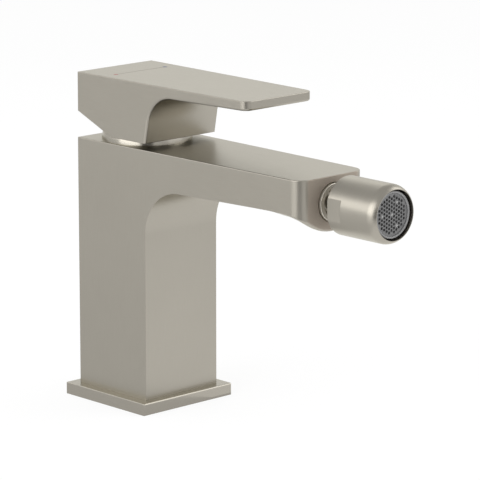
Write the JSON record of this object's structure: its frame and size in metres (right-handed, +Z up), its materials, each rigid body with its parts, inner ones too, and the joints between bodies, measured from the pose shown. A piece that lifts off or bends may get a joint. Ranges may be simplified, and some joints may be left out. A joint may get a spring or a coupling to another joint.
{
  "type": "bidet mixer",
  "caption": "Single-lever bidet mixer with a square column, flat tapered spout, flat paddle handle and a swivelling aerator nozzle, in brushed nickel.",
  "frame": {"origin": "middle of the foot on the deck plane, on the axis of the column and of the hose recess", "axes": "+X along the spout towards the nozzle, +Z up, +Y to the right of a user who faces the spout"},
  "size_m": [0.1833, 0.054, 0.1505],
  "materials": {
    "brushed_nickel": "brushed nickel plating",
    "bare_brass": "machined",
    "steel": "bright",
    "grey_plastic": "moulded",
    "ivory_plastic": "moulded",
    "white_ceramic": "lapped",
    "black_rubber": "moulded",
    "red_enamel": "gloss",
    "blue_enamel": "gloss"
  },
  "bodies": {
    "mixer_body": {"body": "brushed_nickel", "base_plate": "brushed_nickel", "foot_gasket": "black_rubber", "foot_oring": "black_rubber", "cartridge_base": "grey_plastic", "port_seals": "black_rubber", "cartridge_housing": "ivory_plastic", "cartridge_oring": "black_rubber", "fixed_disc": "white_ceramic", "lock_nut": "bare_brass", "trim_cover": "brushed_nickel", "cover_oring": "black_rubber", "seat_oring": "black_rubber", "ball_seat": "ivory_plastic", "retaining_nut": "brushed_nickel"},
    "turning": {"turning_sleeve": "ivory_plastic", "lever_pin": "steel"},
    "lever": {"handle": "brushed_nickel", "lever_stem": "bare_brass", "set_screw": "steel", "screw_plug": "brushed_nickel", "hot_index": "red_enamel", "cold_index": "blue_enamel"},
    "disc": {"moving_disc": "white_ceramic", "disc_carrier": "grey_plastic"},
    "swivel": {"slip_ring": "ivory_plastic"},
    "nozzle": {"ball_stem": "brushed_nickel", "nozzle_housing": "brushed_nickel", "aerator_gasket": "black_rubber", "strainer": "steel", "jet_plate": "grey_plastic", "aerator_cup": "grey_plastic", "aerator_grid": "grey_plastic"}
  },
  "joints": [
    {"name": "handle_turn", "type": "hinge", "parent": "mixer_body", "child": "turning", "pos_m": [0, 0, 0.119], "axis": [0, 0, 1], "range_deg": [-45, 45]},
    {"name": "handle_lift", "type": "hinge", "parent": "turning", "child": "lever", "pos_m": [0, 0, 0.119], "axis": [0, -1, 0], "range_deg": [0, 22]},
    {"name": "disc_slide", "type": "slide", "parent": "turning", "child": "disc", "axis": [1, 0, 0], "range_m": [0, 0.004]},
    {"name": "nozzle_turn", "type": "hinge", "parent": "mixer_body", "child": "swivel", "pos_m": [0.1118, 0, 0.1089], "axis": [1, 0, 0], "continuous": true},
    {"name": "nozzle_tilt", "type": "hinge", "parent": "swivel", "child": "nozzle", "pos_m": [0.1118, 0, 0.1089], "axis": [0, 1, 0], "range_deg": [-15, 15]}
  ],
  "couplings": [
    {"joint": "disc_slide", "follows": "handle_lift", "m_per_rad": 0.0098}
  ]
}
